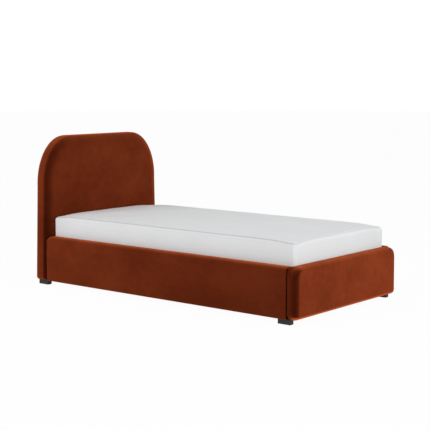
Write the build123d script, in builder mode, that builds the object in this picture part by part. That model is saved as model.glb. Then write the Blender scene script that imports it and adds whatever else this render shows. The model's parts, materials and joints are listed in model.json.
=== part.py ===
"""Single ottoman bed: padded headboard, footboard and side rails round a storage box,
with a slatted platform that lifts from the foot end on two pairs of steel arms.

Millimetres. X runs across the bed, Y along it towards the headboard, Z up.
The origin is on the floor under the middle of the bed, which stands with its mattress down.
"""

import math
import os

from build123d import *

# Whole bed
bed_width = 1060
bed_length = 2050
foot_height = 30
side_top = 316
headboard_top = 962
same_place = 0.01

# Headboard: a board on battens inside a padded cover, closed by a thin back
headboard_thickness = 90
headboard_shoulder_width = 245
headboard_shoulder_height = 320
headboard_low_radius = 22
headboard_front_roll = 48
headboard_back_roll = 10
headboard_front_pad = 34
edge_pad = 24
least_radius = 2
headboard_board = 18
back_panel = 4
batten_width = 60

# Footboard: the same make, thinner, with a lining on the inner face
footboard_thickness = 50
footboard_top_radius = 62
footboard_low_radius = 26
footboard_front_roll = 39
footboard_inner_roll = 8
footboard_front_pad = 22
lining = 4

# Side rails: a timber board with the padded cover folded over its top and under its foot
rail_thickness = 60
rail_board_thickness = 30
rail_top_pad = 28
rail_low_wrap = 7
rail_outer_roll = 28
rail_inner_roll = 10
rail_low_roll = 10
rail_seam = 1.5

# Corner blocks, their bolts, and the feet
corner_block = 60
corner_block_height = 150
corner_block_chamfer = 1.5
corner_bolt_radius = 4
corner_bolt_grip = 18
corner_bolt_spread = 80
cross_bolt_shift = 20
end_bolt_bite = 20
bolt_head_height = 3.5
bolt_head_growth = 4
small_head = 3
foot_width = 34
foot_length = 84
foot_side_inset = 12
foot_front_inset = 42
foot_back_inset = 4
foot_chamfer = 1.5
foot_corner_radius = 3
foot_screw_radius = 3
foot_screw_head = 5.5
foot_screw_bore = 6
foot_screw_sink = 12
foot_screw_side = 36
foot_screw_bite = 20

# Storage floor
ledge_width = 22
ledge_height = 16
joist_width = 44
joist_pitch = 470
floor_panel = 6
floor_gap = 1

# Platform frame of square steel tube
tube = 25
tube_wall = 2
tube_radius = 3
platform_bottom = 200
frame_side_gap = 23.5
frame_foot_gap = 45
frame_head_gap = 30
cross_tube_count = 4
cap_flange = 3
cap_plug = 2
cap_fit = 0.05

# Sprung slats in end holders
slat_count = 14
slat_width = 62
slat_thickness = 8
slat_rise = 4
slat_first = 65
slat_end_inset = 3.5
holder_wall = 4
holder_floor = 3.7
holder_reach = 22
slat_fit = 0.3
slat_bow = 1
holder_radius = 3

# Mattress, and the stops that keep it in place while the platform is up
mattress_thickness = 204
mattress_foot_gap = 6
mattress_head_gap = 10
mattress_side_gap = 10
mattress_corner_radius = 26
mattress_edge_radius = 22
soft_gap = 0.3
stop_plate = 3
stop_width = 60
stop_height = 62
stop_spacing = 400
stop_lip = 3
stop_rise = 4

# Lifting gear: layers across the bed, counted inwards from the rail
bracket_plate = 4
short_arm_gap = 0.5
arm_thickness = 5
arm_layer_gap = 4
upper_plate_gap = 1
arm_width = 30
lever_width = 27
# Pivots, measured towards the foot from the headboard's front face, and up from the floor
long_base_back = 373.5
long_base_height = 82
long_top_back = 86.5
long_top_height = 197.5
short_base_back = 304
short_base_height = 139.5
short_top_back = 69
short_top_height = 222
pivot_radius = 6
pivot_fit = 0.05
open_pivot_fit = 0.6
pivot_head_radius = 10
pivot_head = 2.4
pivot_sleeve_radius = 9
# The gas spring lies level between two studs that are the same distance from the long arm's
# base pivot, one on a lever of that arm and one on the bracket, so it turns half as far as the arm
spring_half_span = 110
spring_rise = 100
spring_stud_radius = 5
spring_eye = 8
spring_eye_radius = 10
spring_tube_radius = 11
spring_bore_radius = 9.5
spring_rod_radius = 5
spring_gland_radius = 6.5
spring_tube_length = 172
spring_gland = 8
spring_piston = 10
spring_end_wall = 8
spring_end_round = 2
spring_eye_gap = 16
spring_stroke = 58
piston_play = 1
stud_collar_radius = 8
stud_head = 3
eye_play = 0.5
anchor_width = 64
anchor_gap = 5
bracket_floor_gap = 2
bracket_bolt_radius = 4
bracket_bolt_reach = 22
screw_bite = 20
bracket_bolt_low = 18
bracket_bolt_high = 56
bracket_foot_end = 40
bracket_head_end = 16
bracket_side_height = 68
bracket_crown_height = 22
bracket_crown_foot = 24
bracket_crown_head = 34
bracket_flange = 20
bracket_corner = 8
anchor_radius = 12
upper_bolt_radius = 4
upper_bolt_reach = 43.5
upper_bolt_beyond = 26
nut_thickness = 5
nut_radius = 7

# Rests for the foot end of the platform
rest_from_foot = 95
rest_length = 40
rest_flange = 38
rest_plate = 4
rest_pad = 1.7
rest_bolt_radius = 3
rest_inset = 2
rest_pad_trim = 6

# Pull strap
strap_width = 40
strap_thickness = 3
strap_loop_width = 7
strap_loop_drop = 4
strap_radius = 3
strap_loop_radius = 2
strap_drop = 88
strap_clamp_width = 46
strap_clamp_height = 20
strap_clamp_plate = 3
strap_screw_radius = 2.5
strap_screw_head = 2

# Places that follow from the sizes above
half_width = bed_width / 2
half_length = bed_length / 2
head_face = half_length - headboard_thickness
foot_face = -half_length + footboard_thickness
inner_length = head_face - foot_face
rail_face = half_width - rail_thickness
underside = foot_height
box_middle = (head_face + foot_face) / 2
floor_top = underside + ledge_height + floor_panel
platform_top = platform_bottom + tube
slat_bottom = platform_top + holder_floor + slat_fit
mattress_bottom = slat_bottom + slat_thickness + slat_rise + soft_gap
mattress_width = 2 * (rail_face - mattress_side_gap)
mattress_foot = foot_face + mattress_foot_gap
mattress_head = head_face - mattress_head_gap
frame_side = rail_face - frame_side_gap
frame_foot = foot_face + frame_foot_gap
frame_head = head_face - frame_head_gap

# Corner blocks, and the bolts that join them to rails and end boards
block_middle_x = rail_face - corner_block / 2
bolt_levels = [underside + corner_block_height / 2 + s * corner_bolt_spread / 2 for s in (-1, 1)]
end_bolt_points = [(s * block_middle_x, z + cross_bolt_shift) for s in (-1, 1) for z in bolt_levels]

# Feet and their screws, keyed by end: 1 at the head, -1 at the foot
head_cavity_front = head_face + headboard_front_pad
head_batten_front = head_cavity_front + headboard_board
head_batten_back = half_length - back_panel
foot_x = half_width - foot_side_inset - foot_width / 2
foot_middle_y = {
    1: half_length - foot_back_inset - foot_length / 2,
    -1: -half_length + foot_front_inset + foot_length / 2,
}
foot_screw_x = half_width - foot_screw_side
foot_screw_y = {1: (head_batten_front + head_batten_back) / 2, -1: foot_middle_y[-1]}
foot_screw_top = {
    1: underside + edge_pad + foot_screw_bite,
    -1: underside + rail_low_wrap + foot_screw_bite,
}

# Layers of the lifting gear
short_arm_outer = rail_face - bracket_plate - short_arm_gap
short_arm_inner = short_arm_outer - arm_thickness
long_arm_outer = short_arm_inner - arm_layer_gap
long_arm_inner = long_arm_outer - arm_thickness
upper_plate_outer = long_arm_inner - upper_plate_gap
upper_plate_inner = frame_side
spring_middle = frame_side - tube / 2
anchor_outer = spring_middle - spring_tube_radius - anchor_gap
anchor_inner = anchor_outer - bracket_plate

# The pull strap lies against the platform's foot end, under its clamp
strap_back = frame_foot
strap_front = frame_foot - 2 * strap_thickness - strap_loop_width
strap_top = platform_top - strap_radius
clamp_level = strap_top - strap_clamp_height / 2
clamp_face = strap_front - strap_clamp_plate
strap_screw_x = strap_width / 4

# Pivot points as (y, z)
long_base = (head_face - long_base_back, long_base_height)
long_top = (head_face - long_top_back, long_top_height)
short_base = (head_face - short_base_back, short_base_height)
short_top = (head_face - short_top_back, short_top_height)
spring_base = (long_base[0] + spring_half_span, long_base[1] + spring_rise)
spring_top = (long_base[0] - spring_half_span, long_base[1] + spring_rise)

os.makedirs("parts", exist_ok=True)


def save(piece, name):
    """Label one finished piece and write its file."""
    piece.part.label = name
    export_step(piece.part, f"parts/{name}.step")


def across(side, inner, outer):
    """Plane for a profile in (y, z) that is extruded from inner to outer on one side of the bed."""
    return Plane.YZ.offset(inner if side > 0 else -outer)


def end_outline(outline, inset, top, shoulder, low_radius):
    """Outline of an end board in (x, z), drawn in by inset all round, in the sketch given.

    Its shoulders are quarters of an ellipse, given as (width, height).
    """
    width = bed_width - 2 * inset
    height = top - underside - 2 * inset
    across_shoulder, down_shoulder = (size - inset for size in shoulder)
    with Locations((0, underside + inset)):
        Rectangle(width, height - down_shoulder, align=(Align.CENTER, Align.MIN))
        Rectangle(width - 2 * across_shoulder, height, align=(Align.CENTER, Align.MIN))
    for side in (-1, 1):
        with Locations((side * (width / 2 - across_shoulder), top - inset - down_shoulder)):
            Ellipse(across_shoulder, down_shoulder)
    fillet(outline.vertices().group_by(Axis.Y)[0], max(low_radius - inset, least_radius))


def edges_of_face(part, y):
    """Edges that lie in the plane at one y, the rim of a flat end face."""
    return part.edges().filter_by_position(Axis.Y, y - same_place, y + same_place)


sides = {"left": -1, "right": 1}
ends = {"head": 1, "end": -1}

# Headboard
head_back = half_length
head_shape = (
    headboard_top,
    (headboard_shoulder_width, headboard_shoulder_height),
    headboard_low_radius,
)

with BuildPart() as headboard_cover:
    with BuildSketch(Plane.XZ.offset(-head_back)) as outline:
        end_outline(outline, 0, *head_shape)
    extrude(amount=headboard_thickness)
    fillet(edges_of_face(headboard_cover.part, head_face), headboard_front_roll)
    fillet(edges_of_face(headboard_cover.part, head_back), headboard_back_roll)
    with BuildSketch(Plane.XZ.offset(-head_back)) as outline:
        end_outline(outline, edge_pad, *head_shape)
    extrude(amount=headboard_thickness - headboard_front_pad, mode=Mode.SUBTRACT)
    with BuildSketch(Plane.XZ.offset(-head_cavity_front)):
        with Locations(end_bolt_points):
            Circle(corner_bolt_radius)
    extrude(amount=headboard_front_pad, mode=Mode.SUBTRACT)
    with BuildSketch(Plane.XY.offset(underside)):
        for side in sides.values():
            with Locations((side * foot_screw_x, foot_screw_y[1])):
                Circle(foot_screw_radius)
    extrude(amount=edge_pad, mode=Mode.SUBTRACT)
save(headboard_cover, "headboard_cover")

with BuildPart() as headboard_panel:
    with BuildSketch(Plane.XZ.offset(-head_batten_front)) as outline:
        end_outline(outline, edge_pad, *head_shape)
        with Locations(end_bolt_points):
            Circle(corner_bolt_radius, mode=Mode.SUBTRACT)
    extrude(amount=headboard_board)
save(headboard_panel, "headboard_panel")

with BuildPart() as headboard_back:
    with BuildSketch(Plane.XZ.offset(-head_back)) as outline:
        end_outline(outline, edge_pad, *head_shape)
    extrude(amount=back_panel)
save(headboard_back, "headboard_back")

# The battens stand behind the panel: two posts, three cross pieces and a middle post between them
batten_low = underside + edge_pad
post_top = headboard_top - headboard_shoulder_height
post_x = half_width - edge_pad - batten_width / 2
cross_levels = (batten_low + batten_width / 2, post_top - batten_width / 2)
crown_level = headboard_top - edge_pad - batten_width
crown_span = 2 * (half_width - headboard_shoulder_width)

with BuildPart() as headboard_battens:
    with BuildSketch(Plane.XZ.offset(-head_batten_back)):
        for side in sides.values():
            with Locations((side * post_x, (batten_low + post_top) / 2)):
                Rectangle(batten_width, post_top - batten_low)
    extrude(amount=head_batten_back - head_batten_front)
    with BuildSketch(Plane.XZ.offset(-head_batten_back)):
        for level in cross_levels:
            with Locations((0, level)):
                Rectangle(2 * post_x - batten_width - 2 * floor_gap, batten_width)
        with Locations((0, crown_level)):
            Rectangle(crown_span, batten_width)
    extrude(amount=head_batten_back - head_batten_front)
    with BuildSketch(Plane.XZ.offset(-head_batten_back)):
        low_post = cross_levels[0] + batten_width / 2 + floor_gap
        high_post = cross_levels[1] - batten_width / 2 - floor_gap
        with Locations((0, (low_post + high_post) / 2)):
            Rectangle(batten_width, high_post - low_post)
        low_post = cross_levels[1] + batten_width / 2 + floor_gap
        high_post = crown_level - batten_width / 2 - floor_gap
        with Locations((0, (low_post + high_post) / 2)):
            Rectangle(batten_width, high_post - low_post)
    extrude(amount=head_batten_back - head_batten_front)
    with BuildSketch(Plane.XY.offset(underside + edge_pad)):
        for side in sides.values():
            with Locations((side * foot_screw_x, foot_screw_y[1])):
                Circle(foot_screw_radius)
    extrude(amount=foot_screw_bite, mode=Mode.SUBTRACT)
    with BuildSketch(Plane.XZ.offset(-head_batten_back)) as outline:
        end_outline(outline, edge_pad, *head_shape)
    extrude(amount=head_batten_back - head_batten_front, mode=Mode.INTERSECT)
save(headboard_battens, "headboard_battens")

# Footboard
foot_front = -half_length
foot_shape = (side_top, (footboard_top_radius, footboard_top_radius), footboard_low_radius)
foot_board_front = foot_front + footboard_front_pad
foot_board_back = foot_face - lining

with BuildPart() as footboard_cover:
    with BuildSketch(Plane.XZ.offset(-foot_face)) as outline:
        end_outline(outline, 0, *foot_shape)
    extrude(amount=footboard_thickness)
    fillet(edges_of_face(footboard_cover.part, foot_front), footboard_front_roll)
    fillet(edges_of_face(footboard_cover.part, foot_face), footboard_inner_roll)
    with BuildSketch(Plane.XZ.offset(-foot_face)) as outline:
        end_outline(outline, edge_pad, *foot_shape)
    extrude(amount=footboard_thickness - footboard_front_pad, mode=Mode.SUBTRACT)
save(footboard_cover, "footboard_cover")

with BuildPart() as footboard_panel:
    with BuildSketch(Plane.XZ.offset(-foot_board_back)) as outline:
        end_outline(outline, edge_pad, *foot_shape)
    extrude(amount=foot_board_back - foot_board_front)
    with BuildSketch(Plane.XZ.offset(-foot_board_back)):
        with Locations(end_bolt_points):
            Circle(corner_bolt_radius)
    extrude(amount=end_bolt_bite, mode=Mode.SUBTRACT)
save(footboard_panel, "footboard_panel")

with BuildPart() as footboard_lining:
    with BuildSketch(Plane.XZ.offset(-foot_face)) as outline:
        end_outline(outline, edge_pad, *foot_shape)
        with Locations(end_bolt_points):
            Circle(corner_bolt_radius, mode=Mode.SUBTRACT)
    extrude(amount=lining)
save(footboard_lining, "footboard_lining")

# Side rails, each a cover over a board, from the headboard to a narrow seam at the footboard
rail_start = foot_face + rail_seam
rail_length = head_face - rail_start
board_bottom = underside + rail_low_wrap
board_top = side_top - rail_top_pad


def side_rectangle(side, inner, outer, bottom, top):
    """Rectangle in the XZ plane between two distances from the bed's middle."""
    with Locations((side * (inner + outer) / 2, (bottom + top) / 2)):
        Rectangle(outer - inner, top - bottom)


for name, side in sides.items():
    with BuildPart() as rail_cover:
        with BuildSketch(Plane.XZ.offset(-head_face)) as outline:
            side_rectangle(side, rail_face, half_width, underside, side_top)
            by_side = outline.vertices().sort_by(Axis.X)
            outer_corners = by_side[-2:] if side > 0 else by_side[:2]
            inner_corners = by_side[:2] if side > 0 else by_side[-2:]
            fillet(outer_corners.sort_by(Axis.Y)[-1], rail_outer_roll)
            fillet(inner_corners.sort_by(Axis.Y)[-1], rail_inner_roll)
            fillet(outer_corners.sort_by(Axis.Y)[0], rail_low_roll)
            board_middle_x = side * (rail_face + rail_board_thickness / 2)
            with Locations((board_middle_x, (board_bottom + board_top) / 2)):
                Rectangle(rail_board_thickness, board_top - board_bottom, mode=Mode.SUBTRACT)
        extrude(amount=rail_length)
        with BuildSketch(Plane.XY.offset(underside)):
            with Locations((side * foot_screw_x, foot_screw_y[-1])):
                Circle(foot_screw_radius)
        extrude(amount=rail_low_wrap, mode=Mode.SUBTRACT)
    save(rail_cover, f"rail_cover_{name}")

# Corner blocks stand on the foot line, inside each corner, and take the bolts of rail and end board
def block_middle_y(end):
    """Middle of a corner block along the bed, at the head or the foot."""
    return head_face - corner_block / 2 if end > 0 else foot_face + corner_block / 2


with BuildPart() as corner_blocks:
    with BuildSketch(Plane.XY.offset(underside)):
        for end in ends.values():
            for side in sides.values():
                with Locations((side * block_middle_x, block_middle_y(end))):
                    Rectangle(corner_block, corner_block)
    extrude(amount=corner_block_height)
    chamfer(corner_blocks.faces().sort_by(Axis.Z)[-4:].edges(), corner_block_chamfer)
    for end in ends.values():
        for level in bolt_levels:
            with BuildSketch(Plane.YZ.offset(-rail_face)):
                with Locations((block_middle_y(end), level)):
                    Circle(corner_bolt_radius)
            extrude(amount=2 * rail_face, mode=Mode.SUBTRACT)
            with BuildSketch(Plane.XZ.offset(-head_face if end > 0 else -foot_face - corner_block)):
                for side in sides.values():
                    with Locations((side * block_middle_x, level + cross_bolt_shift)):
                        Circle(corner_bolt_radius)
            extrude(amount=corner_block, mode=Mode.SUBTRACT)
save(corner_blocks, "corner_blocks")


def bolt(seat, radius, grip, head=bolt_head_height, head_radius=None):
    """Bolt along a seat plane's normal: its head below the plane, its shank rising by grip."""
    rim = head_radius or radius + bolt_head_growth
    with Locations(seat):
        Cylinder(rim, head, align=(Align.CENTER, Align.CENTER, Align.MAX))
        Cylinder(radius, grip, align=(Align.CENTER, Align.CENTER, Align.MIN))


end_bolt_reach = {1: headboard_front_pad + headboard_board, -1: lining + end_bolt_bite}

with BuildPart() as corner_bolts:
    for end in ends.values():
        for side in sides.values():
            for level in bolt_levels:
                into_rail = Plane(
                    origin=(side * (rail_face - corner_block), block_middle_y(end), level),
                    z_dir=(side, 0, 0),
                )
                bolt(into_rail, corner_bolt_radius, corner_block + corner_bolt_grip)
                inner_y = block_middle_y(end) - end * corner_block / 2
                into_end = Plane(
                    origin=(side * block_middle_x, inner_y, level + cross_bolt_shift),
                    z_dir=(0, end, 0),
                )
                bolt(into_end, corner_bolt_radius, corner_block + end_bolt_reach[end])
save(corner_bolts, "corner_bolts")

# Lower bracket bolts and rest bolts go into the rail boards too
bracket_bolt_places = (long_base[0] - bracket_bolt_reach, spring_base[0] + anchor_width / 2)
bracket_bolt_levels = (floor_top + bracket_bolt_low, floor_top + bracket_bolt_high)
bracket_bolt_points = [(y, z) for y in bracket_bolt_places for z in bracket_bolt_levels]
rest_middle = foot_face + rest_from_foot
rest_level = platform_bottom - rest_pad - soft_gap - rest_plate
rest_reach = frame_side - tube + rest_inset
rest_bolt_level = rest_level - rest_flange / 2
rest_bolt_points = [(rest_middle + s * rest_length / 4, rest_bolt_level) for s in (-1, 1)]

for name, side in sides.items():
    with BuildPart() as rail_board:
        with BuildSketch(across(side, rail_face, rail_face + rail_board_thickness)):
            with Locations(((head_face + rail_start) / 2, (board_bottom + board_top) / 2)):
                Rectangle(rail_length, board_top - board_bottom)
        extrude(amount=rail_board_thickness)
        holes = [(block_middle_y(end), level, corner_bolt_radius, corner_bolt_grip)
                 for end in ends.values() for level in bolt_levels]
        holes += [(*point, bracket_bolt_radius, screw_bite) for point in bracket_bolt_points]
        holes += [(*point, rest_bolt_radius, screw_bite) for point in rest_bolt_points]
        for y, z, radius, depth in holes:
            with BuildSketch(across(side, rail_face, rail_face + depth)):
                with Locations((y, z)):
                    Circle(radius)
            extrude(amount=depth, mode=Mode.SUBTRACT)
        with BuildSketch(Plane.XY.offset(board_bottom)):
            with Locations((side * foot_screw_x, foot_screw_y[-1])):
                Circle(foot_screw_radius)
        extrude(amount=foot_screw_bite, mode=Mode.SUBTRACT)
    save(rail_board, f"rail_board_{name}")

# Feet: low black blocks under the corners. Each is held by one screw: those at the foot end go up
# into the rail boards, and those at the head into the headboard's posts
foot_names = {(s, e): f"foot_{end}_{side}" for side, s in sides.items() for end, e in ends.items()}

for (side, end), name in foot_names.items():
    with BuildPart() as foot:
        with BuildSketch(Plane.XY) as block:
            with Locations((side * foot_x, foot_middle_y[end])):
                Rectangle(foot_width, foot_length)
            fillet(block.vertices(), foot_corner_radius)
        extrude(amount=foot_height)
        chamfer(foot.faces().sort_by(Axis.Z)[0].edges(), foot_chamfer)
        with Locations(Plane(origin=(side * foot_screw_x, foot_screw_y[end], 0), z_dir=(0, 0, -1))):
            CounterBoreHole(foot_screw_radius, foot_screw_bore, foot_screw_sink)
    save(foot, name)

with BuildPart() as foot_screws:
    for side, end in foot_names:
        seat = Plane(origin=(side * foot_screw_x, foot_screw_y[end], foot_screw_sink), z_dir=(0, 0, 1))
        grip = foot_screw_top[end] - foot_screw_sink
        bolt(seat, foot_screw_radius, grip, head_radius=foot_screw_head)
save(foot_screws, "foot_screws")

# Storage floor: ledges round the inside, cross joists between them, and two panels on top
side_ledge_length = inner_length - 2 * corner_block
end_ledge_length = 2 * (rail_face - corner_block)

with BuildPart() as floor_ledges:
    with BuildSketch(Plane.XY.offset(underside)):
        for side in sides.values():
            with Locations((side * (rail_face - ledge_width / 2), box_middle)):
                Rectangle(ledge_width, side_ledge_length)
        for end in ends.values():
            ledge_y = block_middle_y(end) + end * (corner_block - ledge_width) / 2
            with Locations((0, ledge_y)):
                Rectangle(end_ledge_length, ledge_width)
    extrude(amount=ledge_height)
save(floor_ledges, "floor_ledges")

with BuildPart() as floor_joists:
    with BuildSketch(Plane.XY.offset(underside)):
        for step in (-1, 0, 1):
            with Locations((0, box_middle + step * joist_pitch)):
                Rectangle(2 * (rail_face - ledge_width), joist_width)
    extrude(amount=ledge_height)
save(floor_joists, "floor_joists")

for name, end in ends.items():
    panel_length = (inner_length - 3 * floor_gap) / 2
    panel_middle = box_middle + end * (floor_gap / 2 + panel_length / 2)
    with BuildPart() as panel:
        with BuildSketch(Plane.XY.offset(underside + ledge_height)):
            with Locations((0, panel_middle)):
                Rectangle(2 * (rail_face - floor_gap), panel_length)
            for side in sides.values():
                with Locations((side * block_middle_x, block_middle_y(end))):
                    notch = corner_block + 2 * floor_gap
                    Rectangle(notch, notch, mode=Mode.SUBTRACT)
        extrude(amount=floor_panel)
    save(panel, f"floor_panel_{name}")

# Lower brackets: a pressed channel, its tall side bolted to the rail and its floor carried
# inwards under the arms to an upright that holds the gas spring's stud
bracket_bottom = floor_top + bracket_floor_gap
bracket_start = long_base[0] - bracket_foot_end
bracket_end = spring_base[0] + anchor_width / 2 + bracket_head_end
bracket_shoulder = bracket_bottom + bracket_side_height
bracket_crown = short_base_height + bracket_crown_height
anchor_start = spring_base[0] - anchor_width / 2
anchor_end = spring_base[0] + anchor_width / 2

for name, side in sides.items():
    with BuildPart() as lower_bracket:
        with BuildSketch(across(side, rail_face - bracket_plate, rail_face)) as plate:
            with BuildLine():
                Polyline(
                    (bracket_start, bracket_bottom),
                    (bracket_end, bracket_bottom),
                    (bracket_end, bracket_shoulder),
                    (short_base[0] + bracket_crown_head, bracket_crown),
                    (short_base[0] - bracket_crown_foot, bracket_crown),
                    (bracket_start, bracket_shoulder),
                    close=True,
                )
            make_face()
            fillet(plate.vertices().sort_by(Axis.Y)[2:], bracket_corner)
            for point in bracket_bolt_points:
                with Locations(point):
                    Circle(bracket_bolt_radius, mode=Mode.SUBTRACT)
            for point in (long_base, short_base):
                with Locations(point):
                    Circle(pivot_radius, mode=Mode.SUBTRACT)
        extrude(amount=bracket_plate)
        with BuildSketch(across(side, rail_face - bracket_flange, rail_face - bracket_plate)):
            with Locations(((bracket_start + bracket_end) / 2, bracket_bottom + bracket_plate / 2)):
                Rectangle(bracket_end - bracket_start, bracket_plate)
        extrude(amount=bracket_flange - bracket_plate)
        with BuildSketch(across(side, anchor_inner, rail_face - bracket_flange)):
            with Locations((spring_base[0], bracket_bottom + bracket_plate / 2)):
                Rectangle(anchor_width, bracket_plate)
        extrude(amount=rail_face - bracket_flange - anchor_inner)
        with BuildSketch(across(side, anchor_inner, anchor_outer)) as upright:
            with BuildLine():
                head_shoulder = (spring_base[0] + anchor_radius, spring_base[1])
                foot_shoulder = (spring_base[0] - anchor_radius, spring_base[1])
                crest = (spring_base[0], spring_base[1] + anchor_radius)
                Polyline(foot_shoulder, (anchor_start, bracket_bottom), (anchor_end, bracket_bottom),
                         head_shoulder)
                ThreePointArc(head_shoulder, crest, foot_shoulder)
            make_face()
            with Locations(spring_base):
                Circle(spring_stud_radius, mode=Mode.SUBTRACT)
        extrude(amount=bracket_plate)
    save(lower_bracket, f"lower_bracket_{name}")

with BuildPart() as bracket_bolts:
    for side in sides.values():
        for y, z in bracket_bolt_points:
            seat = Plane(origin=(side * (rail_face - bracket_plate), y, z), z_dir=(side, 0, 0))
            bolt(seat, bracket_bolt_radius, bracket_plate + screw_bite)
save(bracket_bolts, "bracket_bolts")


def pin(side, point, segments):
    """Turned pin along X: each segment is (inner, outer, radius), measured from the bed's middle."""
    for inner, outer, radius in segments:
        with Locations(Plane(origin=(side * inner, *point), z_dir=(side, 0, 0))):
            Cylinder(radius, outer - inner, align=(Align.CENTER, Align.CENTER, Align.MIN))


# Arms. The long arm is a plate with a lever at its foot for the gas spring
def arm_bar(start, end, radius):
    """Flat bar with round ends, between two pivots, drawn in (y, z)."""
    span = (end[0] - start[0], end[1] - start[1])
    length = math.hypot(*span)
    with Locations(((start[0] + end[0]) / 2, (start[1] + end[1]) / 2)):
        SlotCenterToCenter(length, 2 * radius, rotation=math.degrees(math.atan2(span[1], span[0])))


for name, side in sides.items():
    with BuildPart() as long_arm:
        with BuildSketch(across(side, long_arm_inner, long_arm_outer)):
            arm_bar(long_base, long_top, arm_width / 2)
            arm_bar(long_base, spring_top, lever_width / 2)
            with Locations(long_base, long_top):
                Circle(pivot_radius + pivot_fit, mode=Mode.SUBTRACT)
            with Locations(spring_top):
                Circle(spring_stud_radius, mode=Mode.SUBTRACT)
        extrude(amount=arm_thickness)
    save(long_arm, f"long_arm_{name}")

    with BuildPart() as short_arm:
        with BuildSketch(across(side, short_arm_inner, short_arm_outer)):
            arm_bar(short_base, short_top, arm_width / 2)
            with Locations(short_base):
                Circle(pivot_radius + pivot_fit, mode=Mode.SUBTRACT)
            with Locations(short_top):
                Circle(pivot_radius + open_pivot_fit, mode=Mode.SUBTRACT)
        extrude(amount=arm_thickness)
    save(short_arm, f"short_arm_{name}")

    # Pins fixed in the lower bracket. The short arm's head is thin, because the long arm passes it
    with BuildPart() as lower_pins:
        pin(side, long_base, [
            (long_arm_inner - pivot_fit - pivot_head, long_arm_inner - pivot_fit, pivot_head_radius),
            (long_arm_inner - pivot_fit, long_arm_outer + eye_play, pivot_radius),
            (long_arm_outer + eye_play, rail_face - bracket_plate, pivot_sleeve_radius),
            (rail_face - bracket_plate, rail_face, pivot_radius),
        ])
        pin(side, short_base, [
            (short_arm_inner - pivot_fit - pivot_head, short_arm_inner - pivot_fit, pivot_head_radius),
            (short_arm_inner - pivot_fit, rail_face, pivot_radius),
        ])
        pin(side, spring_base, [
            (anchor_inner, anchor_outer, spring_stud_radius),
            (anchor_outer, spring_middle - spring_eye / 2 - eye_play, stud_collar_radius),
            (spring_middle - spring_eye / 2 - eye_play, spring_middle + spring_eye / 2 + eye_play,
             spring_stud_radius),
            (spring_middle + spring_eye / 2 + eye_play,
             spring_middle + spring_eye / 2 + eye_play + stud_head, stud_collar_radius),
        ])
    save(lower_pins, f"lower_pins_{name}")

    # Stud on the long arm's lever, for the gas spring's rod
    with BuildPart() as spring_stud:
        pin(side, spring_top, [
            (spring_middle - spring_eye / 2 - eye_play - stud_head,
             spring_middle - spring_eye / 2 - eye_play, stud_collar_radius),
            (spring_middle - spring_eye / 2 - eye_play, spring_middle + spring_eye / 2 + eye_play,
             spring_stud_radius),
            (spring_middle + spring_eye / 2 + eye_play, long_arm_inner, stud_collar_radius),
            (long_arm_inner, long_arm_outer, spring_stud_radius),
        ])
    save(spring_stud, f"spring_stud_{name}")

# Gas springs, level at rest, the tube towards the headboard and the rod towards the foot
tube_head_end = spring_base[0] - spring_eye_gap
tube_foot_end = tube_head_end - spring_tube_length
spring_level = spring_base[1]
piston_face = tube_foot_end + spring_gland + spring_stroke


def along_bed(side, y):
    """Plane square to the bed's length at one y, on a gas spring's axis, facing the headboard."""
    return Plane(origin=(side * spring_middle, y, spring_level), x_dir=(1, 0, 0), z_dir=(0, 1, 0))


def spring_end(side, point, neck_start, neck_end):
    """Flat eye with its stud hole, and the round neck that joins it to tube or rod."""
    eye = Plane(origin=(side * spring_middle, *point), z_dir=(side, 0, 0))
    with Locations(eye):
        Cylinder(spring_eye_radius, spring_eye)
    with Locations(along_bed(side, neck_start)):
        Cylinder(spring_rod_radius, neck_end - neck_start, align=(Align.CENTER, Align.CENTER, Align.MIN))
    with Locations(eye):
        Cylinder(spring_stud_radius + pivot_fit, 2 * spring_tube_radius, mode=Mode.SUBTRACT)


for name, side in sides.items():
    with BuildPart() as gas_spring_tube:
        with BuildSketch(along_bed(side, tube_foot_end)):
            Circle(spring_tube_radius)
        extrude(amount=spring_tube_length)
        fillet(gas_spring_tube.edges().filter_by(GeomType.CIRCLE), spring_end_round)
        with BuildSketch(along_bed(side, tube_foot_end + spring_gland)):
            Circle(spring_bore_radius)
        extrude(amount=spring_tube_length - spring_gland - spring_end_wall, mode=Mode.SUBTRACT)
        with BuildSketch(along_bed(side, tube_foot_end)):
            Circle(spring_gland_radius)
        extrude(amount=spring_gland, mode=Mode.SUBTRACT)
        spring_end(side, spring_base, tube_head_end, spring_base[0] - stud_collar_radius - eye_play)
    save(gas_spring_tube, f"gas_spring_tube_{name}")

    with BuildPart() as gas_spring_rod:
        with BuildSketch(along_bed(side, piston_face)):
            Circle(spring_bore_radius - piston_play)
        extrude(amount=spring_piston)
        spring_end(side, spring_top, spring_top[0] + stud_collar_radius + eye_play, piston_face)
    save(gas_spring_rod, f"gas_spring_rod_{name}")

# Upper brackets: a lobed plate on the outer face of the platform's side tube
upper_bolt_points = [
    (long_top[0] - upper_bolt_reach, platform_bottom + tube / 2),
    (short_top[0] + upper_bolt_beyond, platform_bottom + tube / 2),
]

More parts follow.
